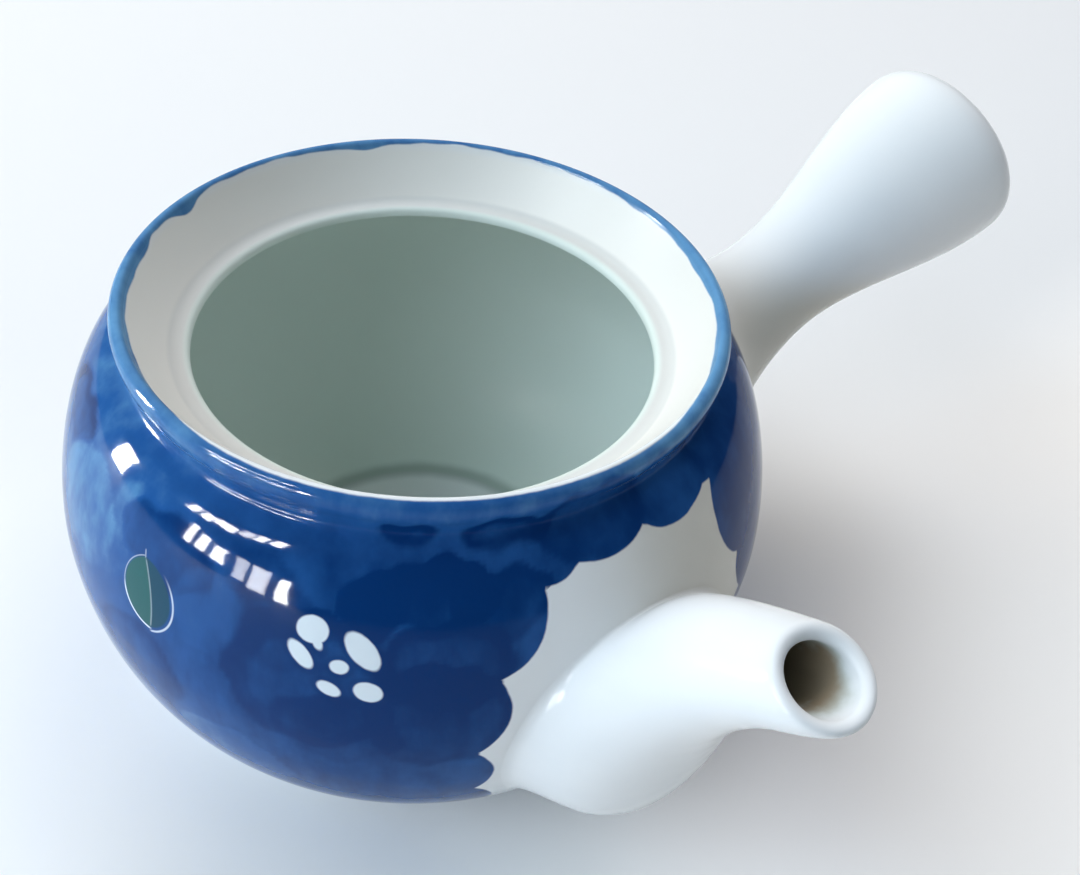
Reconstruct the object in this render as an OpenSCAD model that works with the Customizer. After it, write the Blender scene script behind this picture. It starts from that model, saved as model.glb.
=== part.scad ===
// Kyusu: a porcelain teapot with a side handle, an S-curved spout and a pierced strainer behind it.
// Millimetres. The origin is the centre of the foot on the table, +Z is up and +X runs along the spout.

/* [Pot] */
// Height of the rim above the table
pot_h = 73; // [68:0.5:84]
// Radius of the belly at its widest
belly_r = 57.8; // [55:0.1:66]
// Height of the widest part of the belly
belly_z = 37.4; // [34:0.1:41]
// Thickness of the belly's wall
wall = 3.6; // [3:0.1:4.5]
// Thickness of the floor
floor_t = 4; // [3:0.1:6]
// Radius of the flat of the floor inside
floor_r = 27; // [20:0.5:30]

/* [Foot] */
// Outer radius of the foot ring
foot_r = 34; // [28:0.5:38]
// Height of the foot ring
foot_h = 3; // [2.5:0.1:5]
// Width of the foot ring
foot_w = 4.5; // [3:0.1:7]
// Height of the hollow under the floor
foot_hollow = 2.2; // [1:0.1:2.4]

/* [Rim] */
// Outer radius of the rim
rim_r = 45.5; // [44.5:0.1:47]
// Radius of the neck under the rim
neck_r = 44; // [42.5:0.1:45]
// Height of the collar from the neck to the rim
collar_h = 6.5; // [5:0.1:8]
// Thickness of the rounded lip
lip_t = 1.2; // [1:0.1:2]
// Depth of the lid's seat below the rim
seat_depth = 8.8; // [7:0.1:10]
// Outer radius of the lid's seat
seat_r = 38.2; // [37.4:0.1:39.5]
// Radius of the opening inside the seat
mouth_r = 35.9; // [33:0.1:36.2]
// Height of the straight wall of the opening
mouth_land = 1.2; // [0.8:0.1:2]
// Rounding of the seat's upper edge
seat_round = 0.9; // [0.4:0.1:1.2]
// Rounding of the opening's lower edge
mouth_round = 0.4; // [0.2:0.1:1]

/* [Spout] */
// Height of the middle of the spout's root
spout_root_z = 32; // [31:0.1:34]
// Half the height of the spout's root
spout_root_h = 20.6; // [17:0.1:21]
// Half the width of the spout's root
spout_root_w = 18.5; // [15:0.1:19.5]
// Distance of the mouth's middle from the pot's axis
spout_reach = 81.8; // [77:0.1:92]
// Height of the mouth's middle
spout_mouth_z = 68.6; // [62:0.1:76]
// Angle of the mouth's axis above level
spout_mouth_tilt = 70; // [50:1:85]
// Outer radius of the mouth's lip
spout_lip_r = 7.4; // [6.8:0.1:9]
// Thickness of the spout's wall
spout_wall = 2.6; // [2:0.1:3]
// How far the lower side swells out of the root
spout_swell = 27; // [20:0.5:30]
// Length over which the lower side flares to the lip
spout_flare = 28; // [20:0.5:30]

/* [Handle] */
// Angle from the spout to the handle, seen from above
handle_turn = 85; // [75:1:110]
// Angle of the handle's axis above level
handle_tilt = 28.5; // [15:0.5:32]
// Height where the handle's axis leaves the body
handle_root_z = 41.5; // [38:0.1:43]
// Half the size of the handle's root on the body
handle_root_r = 21; // [17:0.1:21.5]
// Distance of the neck from the body along the axis
handle_neck_at = 21; // [17:0.5:24]
// Radius of the neck
handle_neck_r = 10.4; // [9:0.1:12]
// Length of the handle from the body along its axis
handle_len = 66.2; // [58:0.5:90]
// Radius of the handle near its end
handle_end_r = 17.9; // [14:0.1:20]
// Rounding of the handle's end
handle_round = 7; // [4:0.1:8]
// Thickness of the handle's wall
handle_wall = 3; // [2.2:0.1:3.5]
// Radius of the vent hole in the handle's end
vent_r = 6.5; // [4:0.1:7]

/* [Strainer] */
// Radius of the outlet through the body's wall
outlet_r = 10; // [8:0.1:11]
// Height of the outlet's axis
outlet_z = 33; // [31:0.1:35]
// Clearance between the strainer and the outlet
strainer_gap = 0.25; // [0.15:0.05:0.4]
// Thickness of the strainer's shell
strainer_t = 1.6; // [1.2:0.1:2]
// Width of the strainer's flange beyond the outlet
flange_w = 1.5; // [1:0.1:2]
// Height of the strainer's dome
dome_h = 8; // [6:0.1:11]
// Radius of each hole in the dome
pore_r = 0.8; // [0.5:0.05:0.9]
// Distance between the rings of holes
pore_pitch = 2.5; // [2.2:0.1:2.6]

/* [Slip] */
// Gap that the slip fills between the body and what is luted to it
slip_t = 0.7; // [0.5:0.05:1]
// Clearance on each side of the slip
slip_gap = 0.15; // [0.1:0.01:0.2]
// Width of the slip squeezed out round a root
slip_bead = 0.8; // [0.4:0.1:1.5]

/* [Hidden] */

// Steps of the curves: along each profile, round each ring, along each loft and across each root
profile_steps = 14;
ring_sides = 40;
loft_steps = 18;
root_steps = 4;
lip_steps = 4;

// Exponents of the bowl's and the shoulder's swelling curves
bowl_in = 2;
bowl_out = 2.4;
shoulder_in = 1.6;
shoulder_out = 2;
// Share of the shoulder's curve below the fillet that joins it to the neck
shoulder_share = 0.97;

neck_z = pot_h - collar_h;
seat_z = pot_h - seat_depth;
mouth_z = seat_z - seat_round - mouth_land;
ceiling_z = mouth_z - mouth_round;
floor_z = foot_hollow + floor_t;
foot_edge = 0.6;
// Width of the handle's wall where it meets the body
handle_land = 2.5 * handle_wall;
// How far the outlet's cutter reaches past each side of the wall
outlet_reach = 3 * wall;

// Outer radius of the bowl below the belly, and of the shoulder above it, at the height z
function bowl_r(z, r0, z0, r1) =
    let (u = min(1, max(0, (z - z0) / (belly_z - z0))))
    r0 + (r1 - r0) * pow(1 - pow(1 - u, bowl_in), 1 / bowl_out);
function shoulder_r(z, r1, r2, z2) =
    let (v = min(1, max(0, (z - belly_z) / (z2 - belly_z))))
    r2 + (r1 - r2) * pow(1 - pow(v, shoulder_in), 1 / shoulder_out);
function skin_r(z) =
    z < belly_z ? bowl_r(z, foot_r, foot_h, belly_r) : shoulder_r(z, belly_r, neck_r, neck_z);

// Radius of the cavity at the height z
cavity_r = belly_r - wall;
ceiling_r = mouth_r + mouth_round;
function hollow_r(z) =
    z < belly_z ? bowl_r(z, floor_r, floor_z, cavity_r)
                : shoulder_r(z, cavity_r, ceiling_r, ceiling_z);

// Curves: heights bunched towards z0, and Bezier curves of three and four points
function eased(z0, z1, steps) = [for (i = [0:steps]) z0 + (z1 - z0) * (1 - cos(90 * i / steps))];
function bend3(a, b, c, t) = pow(1 - t, 2) * a + 2 * t * (1 - t) * b + t * t * c;
function bend4(a, b, c, d, t) =
    pow(1 - t, 3) * a + 3 * t * pow(1 - t, 2) * b + 3 * t * t * (1 - t) * c + pow(t, 3) * d;

function heading4(a, b, c, d, t) =
    pow(1 - t, 2) * (b - a) + 2 * t * (1 - t) * (c - b) + t * t * (d - c);
function unit(v) = v / norm(v);

// The direction square to a heading in the plane of the spout, turned upwards from it
function square_to(heading) = unit([-heading[2], 0, heading[0]]);

function reversed(list) = [for (i = [len(list) - 1:-1:0]) list[i]];
function arc(c, r, a0, a1, steps) =
    [for (i = [0:steps]) let (a = a0 + (a1 - a0) * i / steps) c + r * [cos(a), sin(a)]];

// Outline of the pot's wall: foot, bowl, shoulder, collar, lip, seat, opening, cavity and floor
shoulder_top = belly_z + shoulder_share * (neck_z - belly_z);
shoulder_end = [skin_r(shoulder_top), shoulder_top];
slope_step = 0.01;
shoulder_slope = (skin_r(shoulder_top - slope_step) - shoulder_end[0]) / slope_step;
neck_corner = [neck_r, shoulder_top + (shoulder_end[0] - neck_r) / shoulder_slope];
neck_top = [neck_r, (neck_corner[1] + pot_h) / 2 - lip_t / 2];
lip_r = lip_t / 2;
lip_c = [rim_r - lip_r, pot_h - lip_r];
inner_slope = atan2(lip_c[0] - lip_r - seat_r, lip_c[1] - seat_z);

wall_outline = concat(
    [[0, foot_hollow], [foot_r - foot_w - foot_hollow, foot_hollow], [foot_r - foot_w, 0]],
    [[foot_r - foot_edge, 0], [foot_r, foot_edge]],
    [for (z = eased(foot_h, belly_z, profile_steps)) [skin_r(z), z]],
    [for (z = reversed(eased(shoulder_top, belly_z, profile_steps))) if (z > belly_z) [skin_r(z), z]],
    [for (t = [0.25:0.25:1]) bend3(shoulder_end, neck_corner, neck_top, t)],
    arc(lip_c, lip_r, 0, 180 - inner_slope, 2 * lip_steps),
    [[seat_r, seat_z]],
    arc([mouth_r + seat_round, seat_z - seat_round], seat_round, 90, 180, lip_steps),
    arc([mouth_r + mouth_round, mouth_z], mouth_round, 180, 270, lip_steps),
    [for (z = eased(ceiling_z, belly_z, profile_steps)) if (z < ceiling_z) [hollow_r(z), z]],
    [for (z = reversed(eased(floor_z, belly_z, profile_steps))) if (z < belly_z) [hollow_r(z), z]],
    [[0, floor_z]]
);

// A point on the pot's skin: y across and z up from the axis plane at the angle turn, lifted out by off
function on_skin(turn, y, z, off) =
    let (out = sqrt(pow(skin_r(z), 2) - y * y) + off)
    [out * cos(turn) - y * sin(turn), out * sin(turn) + y * cos(turn), z];

// An oval on the skin round the height z0, with half width w and half height h
function oval(turn, z0, w, h, off) =
    [for (i = [0:ring_sides - 1]) let (a = 360 * i / ring_sides)
        on_skin(turn, w * sin(a), z0 + h * cos(a), off)];

// A solid whose skin is a loop of rings, each joined to the next and the last to the first
module ring_solid(rings) {
    count = len(rings);
    sides = len(rings[0]);
    points = [for (ring = rings) each ring];
    faces = [for (j = [0:count - 1]) for (i = [0:sides - 1])
        let (k = (i + 1) % sides, a = j * sides, b = ((j + 1) % count) * sides)
        each [[a + i, b + i, b + k], [a + i, b + k, a + k]]];
    polyhedron(points = points, faces = faces, convexity = 6);
}

module body() {
    color("steelblue")
        difference() {
            rotate_extrude() polygon(wall_outline);
            translate([belly_r - wall - outlet_reach, 0, outlet_z])
                rotate([0, 90, 0]) cylinder(r = outlet_r, h = wall + 2 * outlet_reach);
        }
}

// Spout: two rails in the plane of the spout, joined by ovals
mouth_axis = [cos(spout_mouth_tilt), 0, sin(spout_mouth_tilt)];
mouth_up = [-sin(spout_mouth_tilt), 0, cos(spout_mouth_tilt)];
mouth_c = [spout_reach, 0, spout_mouth_z];
root_low_z = spout_root_z - spout_root_h;
root_high_z = spout_root_z + spout_root_h;
// Angles above level at which the lower rail leaves the root and reaches the lip
swell_rise = 16;
flare_rise = 27;
// Angles and lengths of the upper rail's runs at the root and at the lip
crest_rise = 68;
crest_run = 7;
top_rise = 38;
top_run = 10;

low_0 = [skin_r(root_low_z), 0, root_low_z];
low_1 = low_0 + spout_swell * [cos(swell_rise), 0, sin(swell_rise)];
low_3 = mouth_c - spout_lip_r * mouth_up;
low_2 = low_3 - spout_flare * [cos(flare_rise), 0, sin(flare_rise)];
high_0 = [skin_r(root_high_z), 0, root_high_z];
high_1 = high_0 + crest_run * [cos(crest_rise), 0, sin(crest_rise)];
high_3 = mouth_c + spout_lip_r * mouth_up;
high_2 = high_3 - top_run * [cos(top_rise), 0, sin(top_rise)];
// Half width that the spout narrows towards before its lip
spout_waist = 1.15 * spout_lip_r;

// A ring of the spout at t, from 0 at the root to 1 at the mouth, drawn in square to its rails by inset
function spout_ring(t, inset) =
    let (
        low_out = bend4(low_0, low_1, low_2, low_3, t),
        high_out = bend4(high_0, high_1, high_2, high_3, t),
        up = unit(high_out - low_out),
        low_in = square_to(heading4(low_0, low_1, low_2, low_3, t)),
        high_in = -square_to(heading4(high_0, high_1, high_2, high_3, t)),
        level = pow(t, 4),
        low = low_out + inset * unit((1 - level) * low_in + level * up),
        high = high_out + inset * unit((1 - level) * high_in - level * up),
        w = bend4(spout_root_w, spout_root_w, spout_waist, spout_lip_r, t) - inset,
        mid = (low + high) / 2,
        seat = pow(1 - t, 3)
    )
    [for (i = [0:ring_sides - 1])
        let (
            a = 360 * i / ring_sides,
            flat = mid + cos(a) * (high - low) / 2 + [0, w * sin(a), 0],
            root = root_point(a, inset)
        )
        flat + [seat * (on_skin(0, root[1], root[2], slip_t)[0] - root[0]), 0, 0]];

// The flat oval at the spout's root, drawn in by inset, before it is seated on the body's skin
function root_point(a, inset) =
    let (
        low = low_0 + inset * square_to(low_1 - low_0),
        high = high_0 - inset * square_to(high_1 - high_0)
    )
    (low + high) / 2 + cos(a) * (high - low) / 2 + [0, (spout_root_w - inset) * sin(a), 0];

function mouth_ring(turn) =
    let (r = spout_lip_r - spout_wall / 2 + spout_wall / 2 * cos(turn))
    [for (i = [0:ring_sides - 1]) let (a = 360 * i / ring_sides)
        mouth_c + mouth_axis * spout_wall / 2 * sin(turn)
            + r * (cos(a) * mouth_up + sin(a) * [0, 1, 0])];

module spout() {
    color("aliceblue")
        ring_solid(concat(
            [for (i = [0:loft_steps]) spout_ring(i / loft_steps, 0)],
            [for (i = [1:lip_steps - 1]) mouth_ring(180 * i / lip_steps)],
            [for (i = [loft_steps:-1:0]) spout_ring(i / loft_steps, spout_wall)],
            [for (i = [1:root_steps - 1]) spout_ring(0, spout_wall * (1 - i / root_steps))]
        ));
}

// Handle: a flare that leaves the body's skin, then a round shaft about a straight axis
handle_axis = [cos(handle_tilt) * cos(handle_turn), cos(handle_tilt) * sin(handle_turn), sin(handle_tilt)];
handle_side = [-sin(handle_turn), cos(handle_turn), 0];
handle_up = cross(handle_axis, handle_side);
handle_root = on_skin(handle_turn, 0, handle_root_z, 0);
// Share of the root over which the flare hugs the skin, its lift off the skin there, and its run to the neck
flare_hug = 0.35;
flare_lift = 3.5;
neck_run = 8;
shaft_end = handle_len - handle_round;

function shaft_ring(at, r) =
    [for (i = [0:ring_sides - 1]) let (a = 360 * i / ring_sides)
        handle_root + handle_axis * at + r * (cos(a) * handle_up + sin(a) * handle_side)];
function shaft_point(t) =
    bend4([handle_neck_at, handle_neck_r], [(2 * handle_neck_at + shaft_end) / 3, handle_neck_r],
          [(handle_neck_at + 2 * shaft_end) / 3, handle_end_r], [shaft_end, handle_end_r], t);

// A ring of the flare at t, from 0 on the body to 1 at the neck, drawn in by inset
function flare_ring(t, inset) =
    let (
        root = oval(handle_turn, handle_root_z, handle_root_r - inset, handle_root_r - inset, slip_t),
        hug = flare_hug * (handle_root_r - inset),
        near = oval(handle_turn, handle_root_z, handle_root_r - inset - hug,
                    handle_root_r - inset - hug, slip_t + flare_lift),
        before = shaft_ring(handle_neck_at - neck_run, handle_neck_r - min(inset, handle_wall)),
        neck = shaft_ring(handle_neck_at, handle_neck_r - min(inset, handle_wall))
    )
    [for (i = [0:ring_sides - 1]) bend4(root[i], near[i], before[i], neck[i], t)];

module handle() {
    flare_steps = loft_steps / 2;
    inner_end = handle_len - handle_wall;
    bend_r = handle_round - handle_wall;
    color("aliceblue")
        ring_solid(concat(
            [for (i = [0:flare_steps]) flare_ring(i / flare_steps, 0)],
            [for (i = [1:flare_steps]) let (p = shaft_point(i / flare_steps)) shaft_ring(p[0], p[1])],
            [for (p = arc([shaft_end, handle_end_r - handle_round], handle_round, 90, 0, 2 * lip_steps))
                if (p[0] > shaft_end) shaft_ring(p[0], p[1])],
            [shaft_ring(handle_len, vent_r), shaft_ring(inner_end, vent_r)],
            [for (p = arc([shaft_end, handle_end_r - handle_round], bend_r, 0, 90, lip_steps))
                shaft_ring(p[0], p[1])],
            [for (i = [flare_steps - 1:-1:1]) let (p = shaft_point(i / flare_steps))
                shaft_ring(p[0], p[1] - handle_wall)],
            [for (i = [flare_steps:-1:0]) flare_ring(i / flare_steps, handle_land)],
            [for (i = [1:root_steps - 1]) flare_ring(0, handle_land * (1 - i / root_steps))]
        ));
}

module strainer() {
    skirt_r = outlet_r - strainer_gap;
    dome_in = skirt_r - strainer_t;
    flange_r = outlet_r + flange_w;
    // The flange stands off the cavity's wall where the wall comes closest to it
    flange_x = min([for (a = [0:30:330]) let (z = outlet_z + flange_r * cos(a))
        sqrt(pow(hollow_r(z), 2) - pow(flange_r * sin(a), 2))]) - strainer_gap;
    skirt_len = sqrt(pow(skin_r(outlet_z), 2) - outlet_r * outlet_r) - flange_x;
    ring_count = 3;
    color("honeydew")
        translate([flange_x, 0, outlet_z])
            rotate([0, -90, 0])
                difference() {
                    rotate_extrude() polygon(concat(
                        [[dome_in, -skirt_len], [skirt_r, -skirt_len], [skirt_r, 0], [flange_r, 0]],
                        [[flange_r, strainer_t], [skirt_r, strainer_t]],
                        [for (a = [15:15:90]) [skirt_r * cos(a), strainer_t + dome_h * sin(a)]],
                        [for (a = [90:-15:0]) [dome_in * cos(a), strainer_t + (dome_h - strainer_t) * sin(a)]]
                    ));
                    cylinder(r = pore_r, h = 2 * dome_h);
                    for (ring = [1:ring_count])
                        for (i = [0:6 * ring - 1])
                            rotate([0, 0, 60 * i / ring])
                                translate([ring * pore_pitch, 0, strainer_t])
                                    cylinder(r = pore_r, h = 2 * dome_h);
                }
}

// A layer of slip on the skin between two ovals, with a bead that slopes down to the skin outside
module slip_layer(turn, z0, inner, outer) {
    bottom = [for (i = [0:2 * root_steps]) let (s = inner + (outer + [slip_bead, slip_bead] - inner)
        * i / (2 * root_steps)) oval(turn, z0, s[0], s[1], slip_gap)];
    top = [for (i = [2 * root_steps:-1:0]) let (s = inner + (outer - inner) * i / (2 * root_steps))
        oval(turn, z0, s[0], s[1], slip_t - slip_gap)];
    color("ghostwhite") ring_solid(concat(bottom, top));
}

module spout_slip() {
    outer = [spout_root_w, spout_root_h];
    slip_layer(0, spout_root_z, outer - [spout_wall, spout_wall], outer);
}

module handle_slip() {
    outer = [handle_root_r, handle_root_r];
    slip_layer(handle_turn, handle_root_z, outer - [handle_land, handle_land], outer);
}

body();
spout();
handle();
strainer();
spout_slip();
handle_slip();
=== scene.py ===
"""Looks of a side-handled porcelain teapot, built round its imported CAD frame, in metres."""

import logging
import math
from dataclasses import dataclass, replace
from enum import Enum
from functools import reduce
from typing import Any, Callable, Optional, Sequence, Union

import bpy
import numpy as np
from mathutils import Matrix, Vector


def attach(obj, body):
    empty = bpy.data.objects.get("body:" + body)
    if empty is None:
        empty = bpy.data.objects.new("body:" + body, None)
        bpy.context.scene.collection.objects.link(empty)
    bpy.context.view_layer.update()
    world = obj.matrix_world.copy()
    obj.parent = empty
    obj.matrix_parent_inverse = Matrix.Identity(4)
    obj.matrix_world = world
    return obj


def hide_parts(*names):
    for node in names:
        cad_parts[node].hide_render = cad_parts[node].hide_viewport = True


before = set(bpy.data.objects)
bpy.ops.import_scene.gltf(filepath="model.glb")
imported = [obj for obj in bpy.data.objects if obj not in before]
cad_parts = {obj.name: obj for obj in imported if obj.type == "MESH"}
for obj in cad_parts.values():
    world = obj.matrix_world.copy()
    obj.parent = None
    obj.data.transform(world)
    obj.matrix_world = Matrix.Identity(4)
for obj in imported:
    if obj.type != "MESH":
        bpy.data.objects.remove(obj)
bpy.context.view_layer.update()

LOG = logging.getLogger("teapot")
MM = 0.001
Array = np.ndarray
Triple = tuple[float, float, float]
Colour = Triple


def bezier(points: Sequence[Any], t: Any) -> Any:
    """Evaluates a Bezier curve by repeated blending of neighbouring control points.

    Args:
        points: Control points, or arrays of them that broadcast against t.
        t: Parameters from 0 to 1.

    Returns:
        The points of the curve.
    """
    level = list(points)
    while len(level) > 1:
        level = [(1 - t) * a + t * b for a, b in zip(level, level[1:])]
    return level[0]


def bezier_heading(points: Sequence[Any], t: Any) -> Any:
    """Gives the direction of a Bezier curve, not scaled, as the Bezier curve of its control points' steps."""
    return bezier([b - a for a, b in zip(points, points[1:])], t)


def unit(v: Array) -> Array:
    """Scales vectors in the last axis to unit length."""
    return v / np.linalg.norm(v, axis=-1, keepdims=True)


def smooth(x: Array, low: float, high: float) -> Array:
    """Rises smoothly from 0 at low to 1 at high."""
    t = np.clip((x - low) / (high - low), 0, 1)
    return t * t * (3 - 2 * t)


def bell(x: Array, half: float) -> Array:
    """Gives a bell curve that is 1 at 0 and falls to 1/e at half."""
    return np.exp(-((x / half) ** 2))


def cos_sin(degrees: float) -> tuple[float, float]:
    """Gives the cosine and the sine of an angle in degrees."""
    return math.cos(math.radians(degrees)), math.sin(math.radians(degrees))


def rise(degrees: float) -> Array:
    """Gives the unit direction in the XZ plane at an angle above level."""
    level, steep = cos_sin(degrees)
    return np.array([level, 0.0, steep])


def swing(turn: Array, middle: float) -> Array:
    """Gives angles as seen from a middle one, in degrees from -180 to 180."""
    return (turn - middle + 180) % 360 - 180


def around(columns: int) -> Array:
    """Gives the angle of each column round a piece, in radians."""
    return -np.linspace(0, 2 * math.pi, columns, endpoint=False)


def rounded(corners: Array, cuts: Array, steps: int) -> Array:
    """Rounds a polyline: each inner corner becomes a quadratic Bezier curve.

    Args:
        corners: Points of the polyline.
        cuts: Distance from each inner corner to where its curve starts and ends.
        steps: Points on each curve.

    Returns:
        The rounded polyline's points.
    """
    inner = corners[1:-1]
    before = inner + unit(corners[:-2] - inner) * cuts[:, None]
    after = inner + unit(corners[2:] - inner) * cuts[:, None]
    t = np.linspace(0, 1, steps)[None, :, None]
    curves = bezier([before[:, None], inner[:, None], after[:, None]], t)
    return np.concatenate([corners[:1], curves.reshape(-1, corners.shape[1]), corners[-1:]])


def run_along(points: Array) -> Array:
    """Gives the length of a polyline up to each of its points."""
    return np.concatenate([[0.0], np.cumsum(np.linalg.norm(np.diff(points, axis=0), axis=1))])


def even(points: Array, count: int) -> Array:
    """Spreads points evenly along a polyline.

    Args:
        points: Points of a finely drawn polyline.
        count: Number of points wanted.

    Returns:
        Points at equal distances along it.
    """
    run = run_along(points)
    at = np.linspace(0, run[-1], count)
    return np.stack([np.interp(at, run, points[:, k]) for k in range(points.shape[1])], axis=1)


def relaxed(grid: Array, middle: int, half: float, rounds: int) -> Array:
    """Softens a crease along a row of a looped grid: each row moves halfway to its neighbours' mean.

    Args:
        grid: Points by row, column and axis.
        middle: Row of the crease.
        half: Rows over which the softening fades, as a bell curve.
        rounds: How often it is done.

    Returns:
        The softened grid.
    """
    weight = 0.5 * bell(np.arange(len(grid)) - middle, half)[:, None, None]
    for _ in range(rounds):
        mean = (np.roll(grid, 1, axis=0) + np.roll(grid, -1, axis=0)) / 2
        grid = grid + weight * (mean - grid)
    return grid


def grid_piece(name: str, grid: Array, looped: bool, fields: dict[str, Array]) -> bpy.types.Object:
    """Makes a closed smooth mesh of a grid of points whose columns go round.

    Args:
        name: Name of the piece.
        grid: Points in millimetres, by row, column and axis.
        looped: Whether the last row joins the first; otherwise each end row is closed by a centre point.
        fields: Values for each point of the grid, kept as attributes of the mesh.

    Returns:
        The piece, at the origin.
    """
    rows, cols = grid.shape[:2]
    points = grid.reshape(-1, 3)
    index = np.arange(rows * cols).reshape(rows, cols)
    here = index if looped else index[:-1]
    there = np.roll(index, -1, axis=0) if looped else index[1:]
    quads = np.stack([here, np.roll(here, -1, 1), np.roll(there, -1, 1), there], axis=-1).reshape(-1, 4)
    faces = quads.tolist()
    if not looped:
        points = np.concatenate([points, grid[:1].mean(1), grid[-1:].mean(1)])
        first, last = index[0], index[-1]
        start = np.full(cols, rows * cols)
        faces += np.stack([np.roll(first, -1), first, start], axis=1).tolist()
        faces += np.stack([last, np.roll(last, -1), start + 1], axis=1).tolist()
    mesh = bpy.data.meshes.new(name)
    mesh.from_pydata((points * MM).tolist(), [], faces)
    for label, values in fields.items():
        flat = values.reshape(-1)
        if not looped:
            flat = np.concatenate([flat, values[:1].mean(1), values[-1:].mean(1)])
        mesh.attributes.new(label, "FLOAT", "POINT").data.foreach_set("value", flat.astype(np.float32))
    mesh.shade_smooth()
    mesh.validate()
    piece = bpy.data.objects.new(name, mesh)
    bpy.context.collection.objects.link(piece)
    return piece


def operator(operation: str, reflected: bool = False) -> Callable[["Socket", "Value"], "Socket"]:
    """Makes a method of Socket that adds one maths node.

    Args:
        operation: Blender's name for the operation.
        reflected: Whether the socket is the second of the two values.

    Returns:
        The method.
    """

    def method(self: "Socket", other: "Value") -> "Socket":
        """Gives the operation's result on the socket and another value."""
        return self.maths(operation, *((other, self) if reflected else (self, other)))

    return method


class Socket:
    """An output of a shader node, on which Python's operators make maths nodes."""

    def __init__(self, shade: "Shade", output: bpy.types.NodeSocket) -> None:
        """Keeps the output and the material it belongs to."""
        self.shade = shade
        self.output = output

    def maths(self, operation: str, *values: "Value") -> "Socket":
        """Makes one maths node, with its inputs in order."""
        return self.shade.node("ShaderNodeMath", {"operation": operation}, dict(enumerate(values)))

    __add__ = operator("ADD")
    __radd__ = operator("ADD", True)
    __sub__ = operator("SUBTRACT")
    __rsub__ = operator("SUBTRACT", True)
    __mul__ = operator("MULTIPLY")
    __rmul__ = operator("MULTIPLY", True)
    __lt__ = operator("LESS_THAN")
    maximum = operator("MAXIMUM")

    def absolute(self) -> "Socket":
        """Gives the size without the sign."""
        return self.maths("ABSOLUTE", self)

    def hypot(self, other: "Socket") -> "Socket":
        """Gives the length of the two values taken as sides of a right angle."""
        return self.maths("SQRT", self * self + other * other)

    def step(self, low: "Value", high: "Value") -> "Socket":
        """Rises smoothly from 0 at low to 1 at high."""
        values = {"Value": self, "From Min": low, "From Max": high}
        return self.shade.node("ShaderNodeMapRange", {"interpolation_type": "SMOOTHSTEP"}, values)


Value = Union[Socket, float, Colour]


class Shade:
    """A material's node tree, written as Python expressions, with the object coordinates as its place."""

    def __init__(self, name: str) -> None:
        """Starts an empty material."""
        self.material = bpy.data.materials.new(name)
        self.material.use_nodes = True
        self.tree = self.material.node_tree
        self.tree.nodes.clear()
        self.place = self.node("ShaderNodeTexCoord", {}, {}, "Object")

    def node(self, kind: str, settings: dict[str, Any], inputs: dict[Any, Value], out: Any = 0) -> Socket:
        """Makes any node.

        Args:
            kind: Blender's type name.
            settings: Properties, set before the inputs.
            inputs: Values or sockets by input name or number.
            out: Name or number of the output wanted.

        Returns:
            That output.
        """
        made = self.tree.nodes.new(kind)
        for key, value in settings.items():
            setattr(made, key, value)
        for key, value in inputs.items():
            if isinstance(value, Socket):
                self.tree.links.new(value.output, made.inputs[key])
            else:
                plain = made.inputs[key].type != "RGBA" or len(value) == 4
                made.inputs[key].default_value = value if plain else (*value, 1.0)
        return Socket(self, made.outputs[out])

    def field(self, name: str) -> Socket:
        """Gives a value kept on the mesh."""
        return self.node("ShaderNodeAttribute", {"attribute_name": name}, {}, "Fac")

    def vector(self, operation: str, *values: Value, out: Any = 0) -> Socket:
        """Makes one vector maths node, with its inputs in order."""
        return self.node("ShaderNodeVectorMath", {"operation": operation}, dict(enumerate(values)), out)

    def noise(self, scale: float, detail: float, stretch: Optional[Triple] = None) -> Socket:
        """Gives soft noise about 0, from -1 to 1.

        Args:
            scale: Bumps to the metre.
            detail: How many finer layers it has.
            stretch: Factors for the coordinates along each axis.

        Returns:
            The noise.
        """
        place = self.vector("MULTIPLY", self.place, stretch) if stretch else self.place
        values = {"Vector": place, "Scale": scale, "Detail": detail, "Roughness": 0.55}
        return self.node("ShaderNodeTexNoise", {}, values) * 2.0 - 1.0

    def mix(self, share: Value, a: Value, b: Value) -> Socket:
        """Blends from colour a to colour b."""
        return self.node("ShaderNodeMix", {"data_type": "RGBA"}, {0: share, 6: a, 7: b}, 2)

    def specks(self, spacing: float, radius: float, share: float) -> Socket:
        """Scatters round specks, one in some of the cells of a random net.

        Args:
            spacing: Width of a cell, in metres.
            radius: Radius of a speck, in metres.
            share: Share of the cells that hold one.

        Returns:
            1 on a speck, and 0 off it.
        """
        values = {"Vector": self.place, "Scale": 1 / spacing}
        cells = {"feature": "F1", "distance": "EUCLIDEAN"}
        away = self.node("ShaderNodeTexVoronoi", cells, values, "Distance")
        tint = self.node("ShaderNodeTexVoronoi", cells, values, "Color")
        luck = self.node("ShaderNodeSeparateColor", {}, {"Color": tint}, "Red")
        reach = radius / spacing
        return (1.0 - away.step(0.5 * reach, reach)) * (luck < share)

    def bump(self, height: Socket, depth: float) -> Socket:
        """Gives the normal of a height field whose unit is depth metres."""
        values = {"Height": height, "Distance": depth, "Strength": 1.0}
        return self.node("ShaderNodeBump", {}, values)

    def finish(self, inputs: dict[str, Value]) -> bpy.types.Material:
        """Ends the material in a principled surface with the given inputs."""
        return self.end(self.node("ShaderNodeBsdfPrincipled", {}, inputs))

    def end(self, surface: Socket) -> bpy.types.Material:
        """Ends the material in any surface."""
        out = self.tree.nodes.new("ShaderNodeOutputMaterial")
        self.tree.links.new(surface.output, out.inputs["Surface"])
        return self.material


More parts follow.
